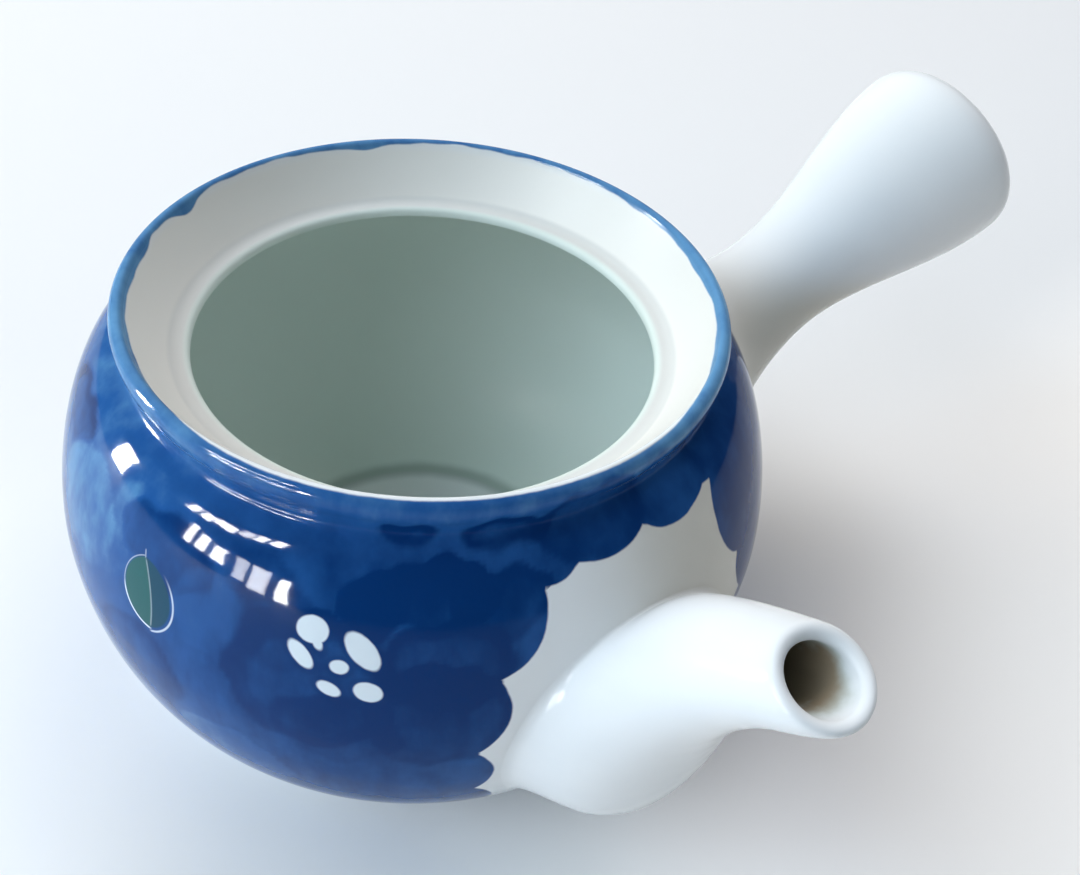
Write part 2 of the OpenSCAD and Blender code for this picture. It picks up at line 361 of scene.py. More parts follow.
class Tone(Enum):
    """How much a dab of wash deepens or thins the blue."""

    PALE = -0.22
    FAINT = -0.14
    SLIGHT = 0.12
    FULL = 0.25
    DEEP = 0.40


@dataclass(frozen=True)
class Dab:
    """An oval touch of the brush on the pot's skin.

    Attributes:
        turn: Angle round the pot, in degrees.
        z: Height on the skin, in millimetres.
        wide: Half width round the pot, in millimetres.
        tall: Half height along the skin, in millimetres.
        lean: Turn of the oval to the left, in degrees.
        tone: What it does to the wash.
        waver: How far its edge wavers, in millimetres.
    """

    turn: float
    z: float
    wide: float
    tall: float
    lean: float = 0.0
    tone: Tone = Tone.FULL
    waver: float = 0.0


@dataclass(frozen=True)
class Painting:
    """The cobalt wash with its scalloped edge, a white blossom and a green leaf, in traditional manner."""

    belly: float = 57.0
    window: tuple[float, float] = (-31.0, 27.0)
    collar_z: float = 65.7
    hem_z: float = 7.0
    scallops: tuple[Dab, ...] = (
        Dab(-27, 58.5, 10.4, 10.4),
        Dab(-31, 44, 9.9, 9.9),
        Dab(-30.5, 29.5, 7.8, 8),
        Dab(-30, 17.5, 8, 8.5),
        Dab(-15.5, 65.5, 6, 6),
        Dab(-5, 66.2, 8.5, 6.2),
        Dab(10.5, 66, 8.2, 6.3),
        Dab(20.5, 66.5, 6.5, 5.6),
        Dab(26.5, 57.5, 8, 10),
        Dab(32.5, 46, 9.6, 9.6),
        Dab(30, 33, 9, 8),
        Dab(29, 18, 8, 8),
    )
    washes: tuple[Dab, ...] = (
        Dab(-107, 60.3, 8.8, 3.9, 0, Tone.DEEP),
        Dab(-94, 53, 10, 9, 0, Tone.PALE),
        Dab(-83, 56, 3.2, 8, 0, Tone.PALE),
        Dab(-73, 58, 8.8, 5.6, 0, Tone.FULL),
        Dab(-64, 53, 6, 7, 0, Tone.PALE),
        # painted highlight: a faintly paler patch on the collar below the lip, on the left
        Dab(-80, 63, 10, 3, 0, Tone.FAINT),
        Dab(-57, 61, 4.5, 4, 0, Tone.SLIGHT),
        Dab(-77, 36, 9, 9, 0, Tone.SLIGHT),
        Dab(-54, 55, 6, 7, 0, Tone.SLIGHT),
        Dab(-49, 47.5, 11.8, 11.8, 0, Tone.FULL),
        Dab(-48, 47, 8.6, 8.6, 0, Tone.PALE),
        Dab(-45, 40, 9, 7, 0, Tone.SLIGHT),
        Dab(-40.5, 60, 4.2, 4.6, 0, Tone.DEEP),
        Dab(-31, 61.5, 7.5, 5, 0, Tone.DEEP),
        Dab(-22, 60, 7, 5, 0, Tone.FULL),
        Dab(-30, 52, 9, 7, 0, Tone.FULL),
        Dab(-31, 43.5, 9.9, 9.9, 0, Tone.FULL),
        Dab(-36, 67.3, 3.4, 1.9, 0, Tone.DEEP),
        Dab(-21, 67, 6, 2.7, 0, Tone.DEEP),
        # painted shade: a darker patch on the right, beside the handle
        Dab(68, 52, 9, 10, 0, Tone.DEEP),
        Dab(-62, 24, 10, 9, 0, Tone.PALE),
        Dab(-5, 66.2, 8.5, 6.2, 0, Tone.FULL),
        Dab(10.5, 66, 8.2, 6.3, 0, Tone.SLIGHT),
        Dab(-105, 38, 8, 9, 0, Tone.FULL),
    )
    petals: tuple[Dab, ...] = (
        Dab(-48.4, 56.2, 2.2, 2.1),
        Dab(-47.7, 54.7, 0.7, 1.4, 24),
        Dab(-49.8, 52.4, 1.25, 2.45, 39),
        Dab(-41.4, 54.3, 1.8, 3.3, 38),
        Dab(-44.4, 51.6, 1.3, 1.15),
        Dab(-45.7, 47.9, 1.8, 1.1, -27),
        Dab(-40.4, 48.2, 2.05, 1.65, -14),
    )
    leaf: Dab = Dab(-74.9, 50.6, 4.6, 5.5, 13)
    back_dabs: int = 34
    edge_waver: float = 0.06
    wash_waver: float = 0.45
    # the wash is darkest round dark_turn and palest towards the lit side at lit_side_turn: partly uneven
    # paint, partly painted light
    dark_turn: float = -32.0
    lit_side_turn: float = -75.0
    pool_at: float = 0.9

    def behind(self) -> list[Dab]:
        """Spreads overlapping dabs over the back: even steps round, heights by the golden section."""
        step = np.arange(self.back_dabs)
        turns = 46 + 195 * step / self.back_dabs
        heights = 14 + 49 * ((step * 0.618) % 1)
        sizes = 8.5 + 3.5 * ((step * 0.414) % 1)
        tones = (Tone.FULL, Tone.FAINT, Tone.DEEP, Tone.SLIGHT, Tone.PALE)
        places = zip(turns.tolist(), heights.tolist(), sizes.tolist())
        return [Dab(turn, z, r, r, 0, tones[i % len(tones)]) for i, (turn, z, r) in enumerate(places)]

    def offsets(self, dab: Dab, turn: Array, run: Array, radius: Array, skin: "Skin") -> tuple[Array, Array]:
        """Lays the skin out flat round a dab: angle times radius across, and length of skin up.

        Args:
            dab: The dab at the middle.
            turn: Angle of each point, in degrees.
            run: Length of skin up to each point, in millimetres.
            radius: Radius of each point, in millimetres.
            skin: The pot's skin.

        Returns:
            Each point's distance across and along the dab's own axes.
        """
        run_0, radius_0 = skin.lookup(dab.z)
        across = np.radians(swing(turn, dab.turn)) * (radius + radius_0) / 2
        along = run - run_0
        phase = np.radians(turn) * self.belly
        sway = np.sin(0.55 * run + 0.31 * phase) + 0.6 * np.sin(0.97 * run - 0.83 * phase)
        heave = np.sin(0.61 * phase + 0.2 * run) + 0.6 * np.sin(1.07 * phase - 0.5 * run)
        across = across + dab.waver * sway
        along = along + dab.waver * heave
        c, s = cos_sin(dab.lean)
        return across * c + along * s, along * c - across * s

    def depth(self, dab: Dab, *where: Any) -> Array:
        """Gives how far each point is inside a dab's oval, in millimetres, negative outside."""
        across, along = self.offsets(dab, *where)
        ratio = np.hypot(across / dab.wide, along / dab.tall)
        slope = np.hypot(across / dab.wide**2, along / dab.tall**2)
        return (1 - ratio) * ratio / np.maximum(slope, 1e-6)

    def outline(self, turn: Array, z: Array, *where: Any) -> Array:
        """Gives how far each point is inside the blue: the union of the ground, the collar and the scallops.

        Args:
            turn: Angle of each point, in degrees.
            z: Height of each point, in millimetres.
            where: Angle, length of skin, radius and skin, as for offsets.

        Returns:
            Distances in millimetres, negative where the pot stays white.
        """
        low, high = self.window
        middle, half = (low + high) / 2, (high - low) / 2
        ground = np.radians(np.abs(swing(turn, middle)) - half) * where[2]
        blue = np.maximum(ground, z - self.collar_z)
        for dab in self.scallops:
            blue = np.maximum(blue, self.depth(replace(dab, waver=self.edge_waver), *where))
        return np.minimum(blue, z - self.hem_z)

    def wash(self, *where: Any) -> Array:
        """Sums what the dabs do to the wash over its ground, darkest on one side and pale at the rim. The
        paleness towards the lit left is partly uneven paint and partly painted light. The paleness at rim and
        lip is partly thin paint and partly painted reflection. A darker band on the right by the handle is
        painted shade.

        Each dab is strongest along its upper edge and fades downwards, and a dark one pools inside its edge.

        Args:
            where: Angle, length of skin, radius and skin, as for offsets.

        Returns:
            What is added to the wash.
        """
        turn, run, _, skin = where
        away = np.abs(swing(turn, self.dark_turn))
        rim = smooth(run, skin.run[-1] - 12, skin.run[-1] - 2)
        # front weights the side that the window lights, where paleness is partly painted light
        front = 1 - smooth(np.abs(swing(turn, self.lit_side_turn)), 50, 110)
        # ground tone: darkest round dark_turn and paler to the sides, partly uneven paint and partly painted
        # light
        tone = 0.14 - 0.28 * smooth(away, 14, 70) + 0.14 * smooth(away, 90, 140)
        # painted shade: the wash darkens on the right, by the handle
        right = smooth(turn, 10, 26) * (1 - smooth(turn, 55, 85))
        lip = smooth(run, skin.run[-1] - 4, skin.run[-1] - 1.5)
        # the rim and lip pale partly as thin paint over the crest and partly as painted reflection and sheen
        tone = tone + 0.44 * right * (1 - lip) - (0.12 + 0.15 * front) * rim - 0.24 * lip * (1 - 0.9 * front)
        for plain in [*self.washes, *self.behind()]:
            dab = replace(plain, waver=self.wash_waver)
            inside = self.depth(dab, *where)
            _, along = self.offsets(dab, *where)
            load = 0.45 + 0.55 * smooth(along / dab.tall, -1.0, 0.7)
            pool = bell(inside - self.pool_at, self.pool_at) * (0.6 if dab.tone.value > 0 else 0.0)
            tone = tone + dab.tone.value * (0.85 * smooth(inside, -0.4, 0.6) + pool) * load
        return tone


@dataclass(frozen=True)
class Skin:
    """The outer line of the pot, for looking up places on it."""

    line: Array
    run: Array

    def lookup(self, z: Any) -> tuple[Any, Any]:
        """Gives the length of skin up to a height, and the radius there."""
        return np.interp(z, self.line[:, 1], self.run), np.interp(z, self.line[:, 1], self.line[:, 0])


@dataclass(frozen=True)
class Pot:
    """The thrown pot: foot, bowl, shoulder, collar, lip, seat and cavity, in millimetres."""

    pot_h: float = 73.0
    belly_r: float = 57.8
    belly_z: float = 37.4
    wall: float = 3.6
    floor_z: float = 6.2
    floor_r: float = 27.0
    foot_r: float = 34.0
    foot_h: float = 3.0
    foot_w: float = 4.5
    foot_hollow: float = 2.2
    rim_r: float = 46.3
    neck_r: float = 44.0
    neck_z: float = 66.5
    waist_r: float = 45.3
    shoulder_share: float = 0.98
    lip_w: float = 1.4
    lip_in: float = 0.9
    lip_h: float = 1.6
    seat_z: float = 64.2
    seat_r: float = 38.2
    nose: float = 1.6
    mouth_r: float = 35.9
    ceiling_z: float = 61.7
    ceiling_r: float = 36.3
    drips: tuple[Triple, ...] = ((-151, 4, 1.5), (162, 5, 0.9), (95, 6, 0.4), (72, 12, 0.3), (38, 7, 0.5))
    front_turn: float = -60.0
    off_run: float = -50.0
    columns: int = 432
    skin_rows: int = 124
    cavity_rows: int = 26

    def swell(self, z: Array, low: tuple[float, float], widest: float, top: tuple[float, float]) -> Array:
        """Gives the radius of a bowl that swells to its belly and of the shoulder that closes above it.

        Below, the radius grows with the 1/2.4 power of one less the square of the height left; above, it
        closes with the root of one less the 1.6 power of the height gained.

        Args:
            z: Heights.
            low: Radius and height where the bowl starts.
            widest: Radius at the belly.
            top: Radius and height where the shoulder ends.

        Returns:
            Radii.
        """
        u = np.clip((z - low[1]) / (self.belly_z - low[1]), 0, 1)
        v = np.clip((z - self.belly_z) / (top[1] - self.belly_z), 0, 1)
        bowl = low[0] + (widest - low[0]) * (1 - (1 - u) ** 2) ** (1 / 2.4)
        shoulder = top[0] + (widest - top[0]) * np.sqrt(1 - v**1.6)
        return np.where(z < self.belly_z, bowl, shoulder)

    def dusk(self, turn: Array, z: Array) -> Array:
        """Gives the share of painted shade, a duller and warmer white laid round the top of the spout's root.
        """
        return 0.85 * smooth(turn, -16, 10) * (1 - smooth(turn, 40, 70)) * smooth(z, 10, 25)

    def skin_r(self, z: Any) -> Array:
        """Gives the radius of the pot's skin at a height."""
        z = np.asarray(z, float)
        return self.swell(z, (self.foot_r, self.foot_h), self.belly_r, (self.neck_r, self.neck_z))

    def hollow_r(self, z: Array) -> Array:
        """Gives the radius of the cavity at a height."""
        top = (self.ceiling_r, self.ceiling_z)
        return self.swell(z, (self.floor_r, self.floor_z), self.belly_r - self.wall, top)

    def on_skin(self, turn: float, y: Array, z: Array, off: float) -> Array:
        """Places points on the skin, y across and z up from the axis plane at an angle.

        Args:
            turn: Angle round the pot, in degrees.
            y: Distances across.
            z: Heights.
            off: Distance out of the skin.

        Returns:
            Points by axis.
        """
        out = np.sqrt(self.skin_r(z) ** 2 - y**2) + off
        c, s = cos_sin(turn)
        return np.stack([out * c - y * s, out * s + y * c, z], axis=-1)

    def outside(self) -> Array:
        """Draws the line from under the foot over the shoulder to the lip's crest."""
        start_z = self.foot_h + 0.3
        ring_r = self.foot_r - self.foot_w
        corners = [
            (1.0, self.foot_hollow),
            (ring_r - self.foot_hollow, self.foot_hollow),
            (ring_r, 0),
            (self.foot_r, 0),
            (self.foot_r, self.foot_h),
            (float(self.skin_r(start_z)), start_z),
        ]
        foot = rounded(np.array(corners), np.array([0.8, 0.7, 0.7, 0.6]), 4)
        top_z = self.belly_z + self.shoulder_share * (self.neck_z - self.belly_z)
        z = np.linspace(start_z, top_z, 4000)
        skin = even(np.stack([self.skin_r(z), z], axis=1), self.skin_rows)
        slope = (skin[-2] - skin[-1])[0] / (skin[-1] - skin[-2])[1]
        corner = np.array([self.waist_r, top_z + (skin[-1, 0] - self.waist_r) / slope])
        neck = np.array([self.waist_r, corner[1] + 0.6])
        lip = np.array([self.rim_r, self.pot_h - self.lip_h])
        t = np.linspace(0, 1, 10)[1:, None]
        hollow = bezier([skin[-1], corner, neck], t)
        lift = np.array([0, 0.5 * (lip - neck)[1]])
        collar = bezier([neck, neck + lift, lip - lift, lip], t)
        turn = np.radians(np.linspace(0, 90, 9))[1:]
        crest = lip + np.stack([self.lip_w * (np.cos(turn) - 1), self.lip_h * np.sin(turn)], axis=1)
        return np.concatenate([foot[:-1], skin, hollow, collar, crest])

    def inside(self) -> Array:
        """Draws the line from the lip's crest down the seat and the cavity to the floor."""
        middle = np.array([self.rim_r - self.lip_w, self.pot_h - self.lip_h])
        turn = np.radians(np.linspace(90, 150, 6))[1:]
        lip = middle + np.stack([self.lip_in * np.cos(turn), self.lip_h * np.sin(turn)], axis=1)
        corners = [
            lip[-1],
            (self.seat_r + 0.3, self.seat_z),
            (self.mouth_r, self.seat_z),
            (self.mouth_r, self.seat_z - self.nose),
            (self.ceiling_r + 1, self.seat_z - self.nose - 0.3),
            (self.ceiling_r + 1, self.ceiling_z - 0.05),
        ]
        seat = rounded(np.array(corners), np.array([1.3, 1.2, 0.25, 0.2]), 6)
        z = np.linspace(self.ceiling_z - 0.05, self.floor_z, 4000)
        cavity = even(np.stack([self.hollow_r(z), z], axis=1), self.cavity_rows)
        floor = np.linspace(self.floor_r, 1, 6)[1:]
        return np.concatenate(
            [lip, seat[1:-1], cavity[1:], np.stack([floor, np.full(5, self.floor_z)], axis=1)]
        )

    def build(self, painting: Painting) -> tuple[bpy.types.Object, Skin]:
        """Turns the outline about the axis and keeps the painting's distances on it.

        Args:
            painting: What is painted on the skin.

        Returns:
            The pot, and its skin.
        """
        outside, inside = self.outside(), self.inside()
        line = np.concatenate([outside, inside])
        run = run_along(line)
        crest = run[len(outside) - 1]
        first = int(np.argmax(outside[:, 0] > self.foot_r + 1))
        skin = Skin(outside[first:], run[first : len(outside)])
        angle = np.linspace(-math.pi, math.pi, self.columns, endpoint=False)
        radius, z = line[:, :1], line[:, 1:]
        grid = np.stack(np.broadcast_arrays(radius * np.cos(angle), radius * np.sin(angle), z), axis=-1)
        turn = np.broadcast_to(np.degrees(angle), grid.shape[:2])
        where = (turn, np.broadcast_to(run[:, None], turn.shape), np.broadcast_to(radius, turn.shape), skin)
        past = where[1] - crest
        blue = painting.outline(turn, np.broadcast_to(z, turn.shape), *where)
        seen = swing(turn, self.front_turn)
        front = np.abs(seen) < 90
        fields = {
            "blue": np.minimum(blue, self.brim(turn) - past),
            "wash": painting.wash(*where),
            "turn": np.where(front, seen, np.sign(seen) * 180 - seen) + self.front_turn,
            "run": np.where(front, where[1], self.off_run),
            "past": past,
            # painted shade round the top of the spout's root, outside the lip only
            "dusk": self.dusk(turn, np.broadcast_to(z, turn.shape)) * (past < 0),
        }
        return grid_piece("pot", grid, False, fields), skin

    def brim(self, turn: Array) -> Array:
        """Gives how far past the lip's crest the blue runs: short in front, with thicker drips on the left.

        Args:
            turn: Angles round the pot, in degrees.

        Returns:
            Distances in millimetres.
        """
        near = 1 - smooth(np.abs(swing(turn, -28)), 28, 75)
        ripple = 0.12 * np.sin(np.radians(7 * turn)) + 0.1 * np.sin(np.radians(17 * turn + 40))
        ripple = ripple + 0.07 * np.sin(np.radians(43 * turn))
        left = smooth(turn, -139, -134) * (1 - smooth(turn, -100, -75))
        right = smooth(turn, 8, 35) * (1 - smooth(turn, 75, 115))
        edge = 0.8 - 1.15 * near + 1.1 * left + 0.6 * right + ripple * (1 - near)
        for middle, half, deep in self.drips:
            edge = edge + deep * bell(swing(turn, middle), half)
        return edge


@dataclass(frozen=True)
class Spout:
    """The spout: ovals between two rails in the XZ plane, in millimetres.

    swell and flare are length and slope of the lower rail's leads at the root and the mouth, and shoulder and
    brow those of the upper rail's. The fillet on the pot is wider by crown above the spout.
    """

    pot: Pot
    root_z: float = 32.0
    root_h: float = 20.6
    root_w: float = 19.3
    reach: float = 81.8
    mouth_z: float = 68.6
    mouth_tilt: float = 70.0
    lip_r: float = 7.4
    wall: float = 2.6
    waist_w: float = 14.8
    neck_w: float = 8.2
    swell: tuple[float, float] = (30.0, 5.5)
    flare: tuple[float, float] = (36.0, 34.0)
    shoulder: tuple[float, float] = (8.0, 66.0)
    brow: tuple[float, float] = (11.0, 29.0)
    fillet: float = 3.0
    crown: float = -1.8
    stain_turn: float = 135.0
    columns: int = 128
    blend_rows: int = 10
    wall_rows: int = 84
    lip_rows: int = 11
    bore_rows: int = 48

    def rails(self) -> tuple[list[Array], list[Array]]:
        """Gives the control points of the lower and the upper rail."""
        middle = np.array([self.reach, 0, self.mouth_z])
        up = rise(self.mouth_tilt + 90)
        low_z, high_z = self.root_z - self.root_h, self.root_z + self.root_h
        low_0 = np.array([float(self.pot.skin_r(low_z)), 0, low_z])
        high_0 = np.array([float(self.pot.skin_r(high_z)), 0, high_z])
        low_3, high_3 = middle - self.lip_r * up, middle + self.lip_r * up
        leads = [span * rise(slope) for span, slope in (self.swell, self.flare, self.shoulder, self.brow)]
        low = [low_0, low_0 + leads[0], low_3 - leads[1], low_3]
        high = [high_0, high_0 + leads[2], high_3 - leads[3], high_3]
        return low, high

    def square(self, heading: Array) -> Array:
        """Turns directions in the XZ plane a quarter turn upwards."""
        return unit(np.stack([-heading[..., 2], 0 * heading[..., 2], heading[..., 0]], axis=-1))

    def ring(self, t: Array, inset: float) -> Array:
        """Draws ovals between the rails: middle plus cos times half the span plus sin times the half width.

        Near the root each point is also moved along X onto the pot's skin, with a weight of (1 - t) cubed.

        Args:
            t: Places along the spout, from 0 at the root to 1 at the mouth.
            inset: Distance that the ovals are drawn in, square to the rails.

        Returns:
            Points by place, column and axis.
        """
        low, high = self.rails()
        t = np.asarray(t, float)[:, None]
        low_out, high_out = bezier(low, t), bezier(high, t)
        up = unit(high_out - low_out)
        level = t**4
        low_in = self.square(bezier_heading(low, t))
        high_in = -self.square(bezier_heading(high, t))
        bottom = low_out + inset * unit((1 - level) * low_in + level * up)
        top = high_out + inset * unit((1 - level) * high_in - level * up)
        half = bezier([self.root_w, self.waist_w, self.neck_w, self.lip_r], t) - inset
        angle = around(self.columns)
        c, s = np.cos(angle)[None, :, None], np.sin(angle)[None, :, None]
        across = np.array([0.0, 1.0, 0.0])
        flat = ((bottom + top) / 2)[:, None] + c * ((top - bottom) / 2)[:, None] + s * half[:, None] * across
        root_low = low[0] + inset * self.square(low[1] - low[0])
        root_high = high[0] - inset * self.square(high[1] - high[0])
        root = (root_low + root_high) / 2 + c[0] * (root_high - root_low) / 2
        root = root + s[0] * (self.root_w - inset) * across
        seat = self.pot.on_skin(0, root[:, 1], root[:, 2], -0.4 if inset else 0.0)
        flat[..., 0] += (1 - t) ** 3 * (seat - root)[:, 0]
        return flat

    def lip(self, turns: Array) -> Array:
        """Rounds the mouth's lip: a half circle of half the wall's radius swept round the mouth."""
        angle = around(self.columns)[None, :, None]
        turns = np.radians(turns)[:, None, None]
        r = self.lip_r - self.wall / 2 + self.wall / 2 * np.cos(turns)
        up, across = rise(self.mouth_tilt + 90), np.array([0.0, 1.0, 0.0])
        middle = np.array([self.reach, 0, self.mouth_z])
        out = rise(self.mouth_tilt) * (self.wall / 2) * np.sin(turns)
        return middle + out + r * (np.cos(angle) * up + np.sin(angle) * across)

    def build(self) -> bpy.types.Object:
        """Joins the fillet on the skin, the wall, the lip and the bore into one closed skin.

        Returns:
            The spout, with the distance past the lip kept on it.
        """
        angle = around(self.columns)

        def hug(share: float, off: float) -> Array:
            """Lays the root's oval on the skin, wider by a share of the fillet and off the skin."""
            wider = share * (self.fillet + self.crown * np.maximum(np.cos(angle), 0) ** 4)
            z = self.root_z + (self.root_h + wider) * np.cos(angle)
            return self.pot.on_skin(0, (self.root_w + wider) * np.sin(angle), z, off)

        start = 0.1
        root, wall = self.ring(np.array([0.0, start]), 0)
        points = [hug(1.0, -0.1), hug(0.5, 0.0), root, wall]
        blend = bezier(points, np.linspace(0, 1, self.blend_rows + 1)[:-1, None, None])
        outer = self.ring(np.linspace(start, 1, self.wall_rows), 0)
        lip = self.lip(np.linspace(0, 180, self.lip_rows + 2)[1:-1])
        bore = self.ring(np.linspace(1, 0, self.bore_rows), self.wall)
        grid = np.concatenate([blend, outer, lip, bore])
        mouth = self.blend_rows + self.wall_rows
        for crease in (mouth - 3, self.blend_rows + 2):
            grid = relaxed(grid, crease, 4.0, 40)
        runs = ((-90, -2, mouth), (-2, 2, self.lip_rows), (2, 70, self.bore_rows))
        past = np.concatenate([np.linspace(*run) for run in runs])
        side = 0.5 + 0.5 * np.cos(angle + math.radians(self.stain_turn + 90))
        turn = np.degrees(np.arctan2(grid[..., 1], grid[..., 0]))
        near = 1 - smooth(np.arange(len(grid)), 1, self.blend_rows + 1)
        fields = {
            "past": np.repeat(past[:, None], self.columns, axis=1),
            "stain": np.repeat(side[None], len(past), axis=0),
            # painted shade on the spout's fillet, fading away from the pot
            "dusk": self.pot.dusk(turn, grid[..., 2]) * near[:, None],
        }
        return grid_piece("spout_shell", grid, True, fields)


@dataclass(frozen=True)
class Handle:
    """The hollow side handle: a flare off the skin, then a round shaft, in millimetres."""

    pot: Pot
    turn: float = 85.0
    tilt: float = 29.6
    root_z: float = 41.5
    root_r: float = 21.0
    neck_at: float = 21.0
    neck_r: float = 10.4
    length: float = 66.9
    end_r: float = 17.9
    end_round: float = 6.2
    wall: float = 3.0
    vent_r: float = 6.5
    lift: float = 3.5
    columns: int = 128

    def axes(self) -> tuple[Array, Array, Array, Array]:
        """Gives the middle of the root, and the directions along, across and up the handle."""
        c, s = cos_sin(self.turn)
        level, steep = cos_sin(self.tilt)
        along = np.array([level * c, level * s, steep])
        across = np.array([-s, c, 0])
        root = self.pot.on_skin(self.turn, np.zeros(1), np.full(1, self.root_z), 0.0)[0]
        return root, along, across, np.cross(along, across)

    def shaft(self, line: Array) -> Array:
        """Turns a line of distances and radii about the handle's axis.

        Args:
            line: Distance along the axis and radius, by point.

        Returns:
            Points by row, column and axis.
        """
        root, along, across, up = self.axes()
        angle = around(self.columns)[None, :, None]
        at, r = line[:, :1, None], line[:, 1:, None]
        return root + along * at + r * (np.cos(angle) * up + np.sin(angle) * across)

    def flare(self, t: Array, inset: float, off: float) -> Array:
        """Blends, at each angle, from an oval on the skin to the neck by a cubic Bezier curve.

        Args:
            t: Places along the flare, from 0 on the skin to 1 at the neck.
            inset: Distance that the root is drawn in.
            off: Distance of the root's edge out of the skin.

        Returns:
            Points by row, column and axis.
        """
        angle = around(self.columns)

        def oval(radius: float, lift: float) -> Array:
            """Lays a ring of the given radius on the skin."""
            z = self.root_z + radius * np.cos(angle)
            return self.pot.on_skin(self.turn, radius * np.sin(angle), z, lift)

        edge = self.root_r - inset
        thin = min(inset, self.wall)
        ends = np.array([[self.neck_at - 8, self.neck_r - thin], [self.neck_at, self.neck_r - thin]])
        before, neck = self.shaft(ends)
        hug = oval(0.65 * edge, self.lift)
        return bezier([oval(edge, off), hug, before, neck], t[:, None, None])

    def side(self, thin: float) -> Array:
        """Draws the shaft's line from the neck to the end's bend, drawn in by thin."""
        stop = self.length - self.end_round
        points = [
            np.array([self.neck_at, self.neck_r - thin]),
            np.array([(2 * self.neck_at + stop) / 3, self.neck_r - thin]),
            np.array([(self.neck_at + 2 * stop) / 3, self.end_r - thin]),
            np.array([stop, self.end_r - thin]),
        ]
        return bezier(points, np.linspace(0, 1, 30)[:, None])

    def build(self) -> bpy.types.Object:
        """Joins flare, shaft, rounded end, vent and hollow into one closed skin.

        Returns:
            The handle, with the share of painted shade, a duller and warmer white under its root, kept on it.
        """
        middle = np.array([self.length - self.end_round, self.end_r - self.end_round])
        turn = np.radians(np.linspace(90, 0, 16))[1:]
        arc = np.stack([np.cos(turn), np.sin(turn)], axis=1)
        inner_end = self.length - self.wall
        vent = [
            (self.length, self.end_r - self.end_round),
            (self.length, self.vent_r),
            (inner_end, self.vent_r),
            (inner_end, self.vent_r + 2),
        ]
        end = rounded(np.array(vent), np.array([0.9, 0.9]), 6)[1:-1]
        hollow = middle + (self.end_round - self.wall) * arc[::-1]
        outer = [self.flare(np.linspace(0, 1, 40), 0, -0.1), self.shaft(self.side(0)[1:])]
        outer.append(self.shaft(middle + self.end_round * arc))
        inner = [self.shaft(hollow), self.shaft(self.side(self.wall)[::-1])]
        inner.append(self.flare(np.linspace(1, 0, 12)[1:], 2.5 * self.wall, -0.5))
        rim = self.shaft(end)
        grid = np.concatenate([*outer, rim, *inner])
        root, along, across, up = self.axes()
        at, lift, far = (grid - root) @ along, (grid - root) @ up, (grid - root) @ across
        # painted shade: a duller, warmer white under the handle's root, on its near side
        dusk = 0.85 * (1 - smooth(at + 1.4 * lift, 20, 36)) * (1 - smooth(far, -4, 8))
        return grid_piece("handle_shell", grid, True, {"past": np.full(grid.shape[:2], -40.0), "dusk": dusk})


